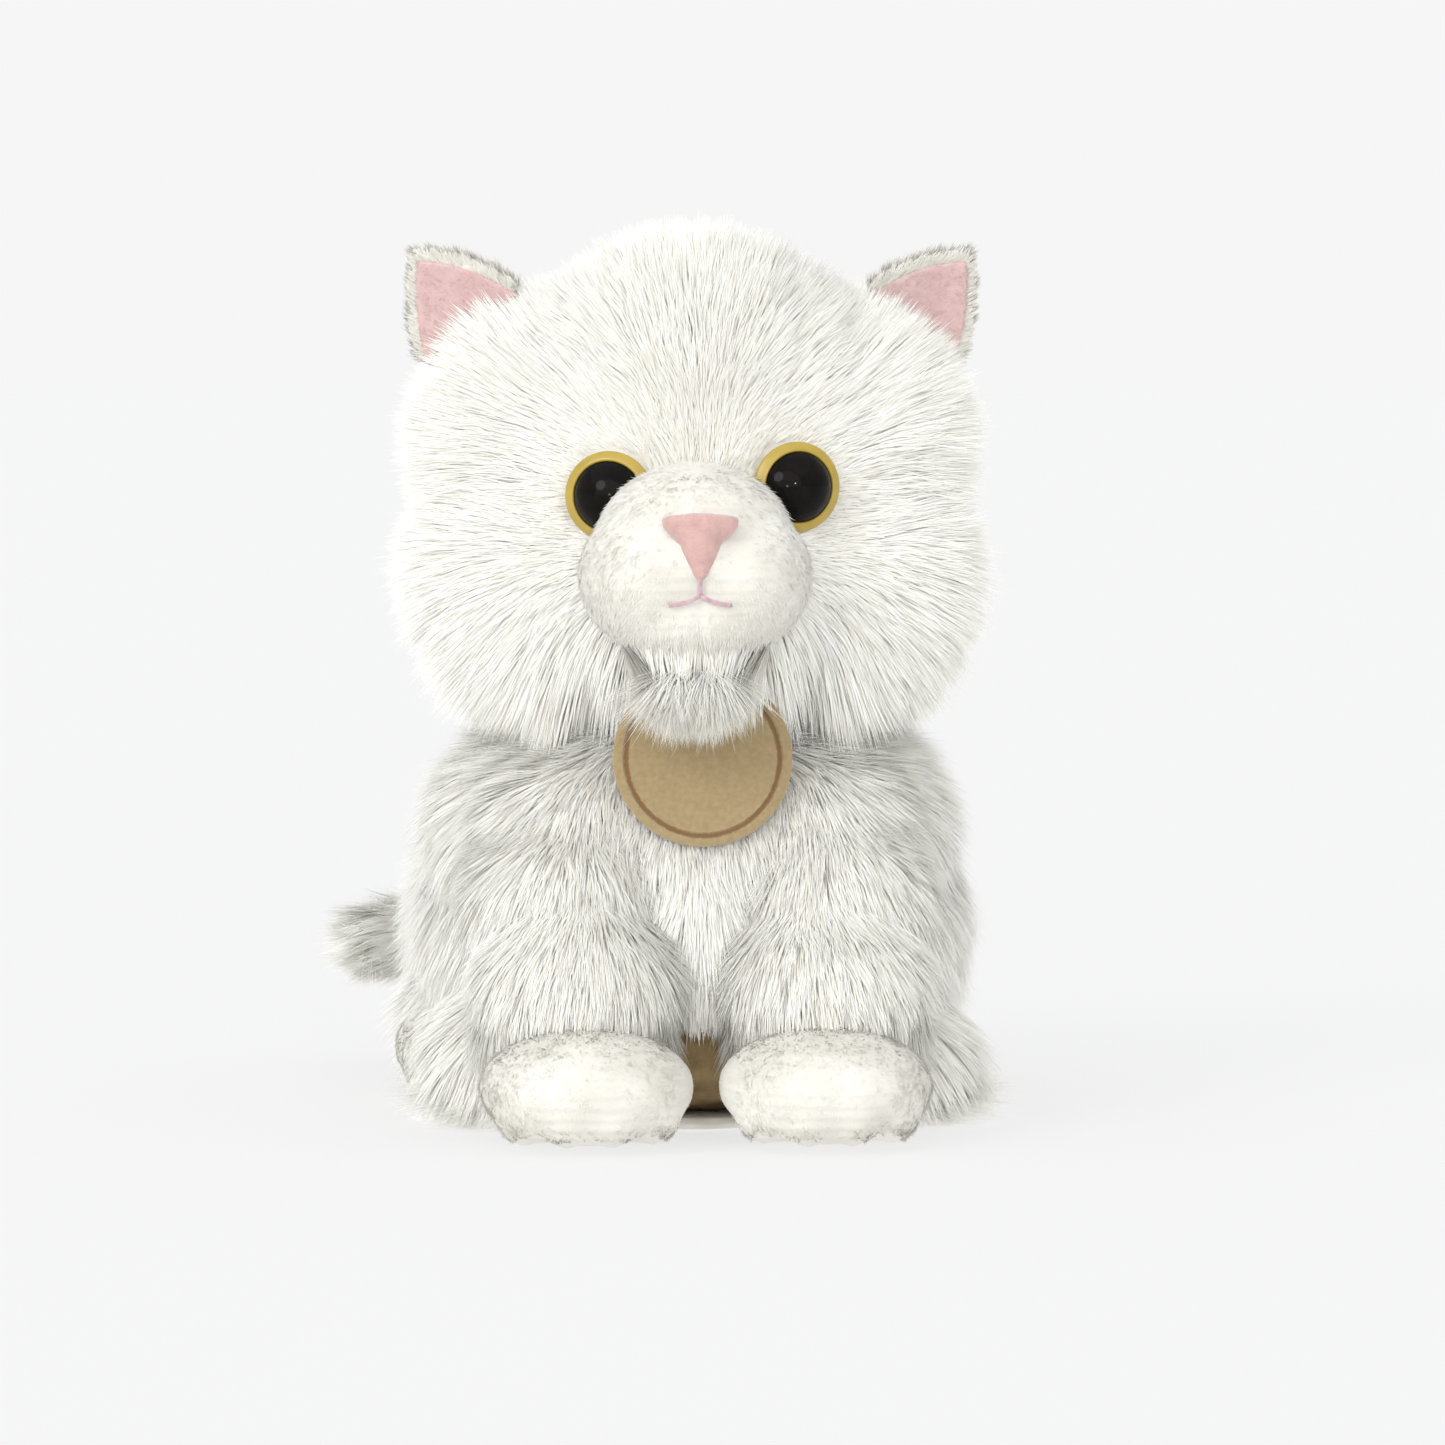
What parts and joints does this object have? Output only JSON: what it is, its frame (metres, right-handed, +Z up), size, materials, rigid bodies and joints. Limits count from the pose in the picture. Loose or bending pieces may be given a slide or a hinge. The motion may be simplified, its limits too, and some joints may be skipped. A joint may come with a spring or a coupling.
{
  "type": "plush cat",
  "caption": "Crouching long-haired white plush cat with safety eyes, a flocked nose and a suede medallion, sewn and stuffed, with a soft turning head, legs, ears and tail.",
  "frame": {"origin": "on the floor under the belly panel, on the middle seam, below the neck", "axes": "+Z up, the cat faces -Y, its own left side is +X"},
  "size_m": [0.1366, 0.2128, 0.184],
  "materials": {
    "long_pile_fur": "long straight pile",
    "short_pile_fur": "short dense pile",
    "ear_fur": "short pile",
    "fibre_fill": "matt",
    "pellet_bag_cloth": "matt woven",
    "label_satin": "satin",
    "eye_yellow": "satin",
    "eye_black": "gloss",
    "washer_plastic": "matt",
    "nose_flock": "flocked",
    "mouth_thread": "embroidered",
    "ear_velour_pink": "short nap",
    "tag_suede": "faux suede",
    "tag_thread": "twisted thread"
  },
  "bodies": {
    "torso": {"torso_skin_left": "long_pile_fur", "torso_skin_right": "long_pile_fur", "torso_stuffing": "fibre_fill", "belly_panel": "short_pile_fur", "pellet_bag": "pellet_bag_cloth", "care_label": "label_satin", "tag_thread": "tag_thread"},
    "neck": {"neck_gusset": "short_pile_fur"},
    "head": {"head_skin_left": "long_pile_fur", "head_skin_right": "long_pile_fur", "forehead_gusset": "long_pile_fur", "head_stuffing": "fibre_fill", "muzzle_skin": "short_pile_fur", "muzzle_stuffing": "fibre_fill", "eye_iris_left": "eye_yellow", "eye_iris_right": "eye_yellow", "eye_pupil_left": "eye_black", "eye_pupil_right": "eye_black", "eye_washer_left": "washer_plastic", "eye_washer_right": "washer_plastic", "nose": "nose_flock", "mouth_stitch": "mouth_thread"},
    "ear_left": {"ear_back_left": "ear_fur", "ear_lining_left": "ear_velour_pink"},
    "ear_right": {"ear_back_right": "ear_fur", "ear_lining_right": "ear_velour_pink"},
    "front_leg_left": {"front_leg_skin_left": "long_pile_fur", "front_leg_stuffing_left": "fibre_fill", "paw_skin_left": "short_pile_fur", "paw_pellets_left": "pellet_bag_cloth"},
    "front_leg_right": {"front_leg_skin_right": "long_pile_fur", "front_leg_stuffing_right": "fibre_fill", "paw_skin_right": "short_pile_fur", "paw_pellets_right": "pellet_bag_cloth"},
    "hind_leg_left": {"haunch_skin_left": "long_pile_fur", "haunch_stuffing_left": "fibre_fill", "hind_foot_left": "short_pile_fur"},
    "hind_leg_right": {"haunch_skin_right": "long_pile_fur", "haunch_stuffing_right": "fibre_fill", "hind_foot_right": "short_pile_fur"},
    "tail": {"tail_skin": "long_pile_fur", "tail_stuffing": "fibre_fill"},
    "tag": {"tag_disc": "tag_suede"}
  },
  "joints": [
    {"name": "head_turn", "type": "hinge", "parent": "torso", "child": "neck", "pos_m": [0, -0.008, 0.092], "axis": [0, 0, 1], "range_deg": [-18, 18], "stiffness_Nm_per_rad": 0.3},
    {"name": "head_nod", "type": "hinge", "parent": "neck", "child": "head", "pos_m": [0, -0.008, 0.092], "axis": [1, 0, 0], "range_deg": [-8, 5], "stiffness_Nm_per_rad": 0.6},
    {"name": "tail_swing", "type": "hinge", "parent": "torso", "child": "tail", "pos_m": [0, 0.104, 0.03], "axis": [0, 0, -1], "range_deg": [0, 60], "stiffness_Nm_per_rad": 0.05},
    {"name": "tag_swing", "type": "hinge", "parent": "torso", "child": "tag", "pos_m": [0, -0.04446, 0.09358], "axis": [-1, 0, 0], "range_deg": [0, 45]},
    {"name": "ear_left_fold", "type": "hinge", "parent": "head", "child": "ear_left", "pos_m": [0.0454, -0.008, 0.168], "axis": [0.7494, 0.309, -0.5855], "range_deg": [-15, 15], "stiffness_Nm_per_rad": 0.02},
    {"name": "front_leg_left_lift", "type": "hinge", "parent": "torso", "child": "front_leg_left", "pos_m": [0.027, -0.03, 0.044], "axis": [-1, 0, 0], "range_deg": [0, 20], "stiffness_Nm_per_rad": 0.1},
    {"name": "hind_leg_left_kick", "type": "hinge", "parent": "torso", "child": "hind_leg_left", "pos_m": [0.038, 0.055, 0.035], "axis": [-1, 0, 0], "range_deg": [0, 15], "stiffness_Nm_per_rad": 0.1},
    {"name": "ear_right_fold", "type": "hinge", "parent": "head", "child": "ear_right", "pos_m": [-0.0454, -0.008, 0.168], "axis": [0.7494, -0.309, 0.5855], "range_deg": [-15, 15], "stiffness_Nm_per_rad": 0.02},
    {"name": "front_leg_right_lift", "type": "hinge", "parent": "torso", "child": "front_leg_right", "pos_m": [-0.027, -0.03, 0.044], "axis": [-1, 0, 0], "range_deg": [0, 20], "stiffness_Nm_per_rad": 0.1},
    {"name": "hind_leg_right_kick", "type": "hinge", "parent": "torso", "child": "hind_leg_right", "pos_m": [-0.038, 0.055, 0.035], "axis": [-1, 0, 0], "range_deg": [0, 15], "stiffness_Nm_per_rad": 0.1}
  ]
}
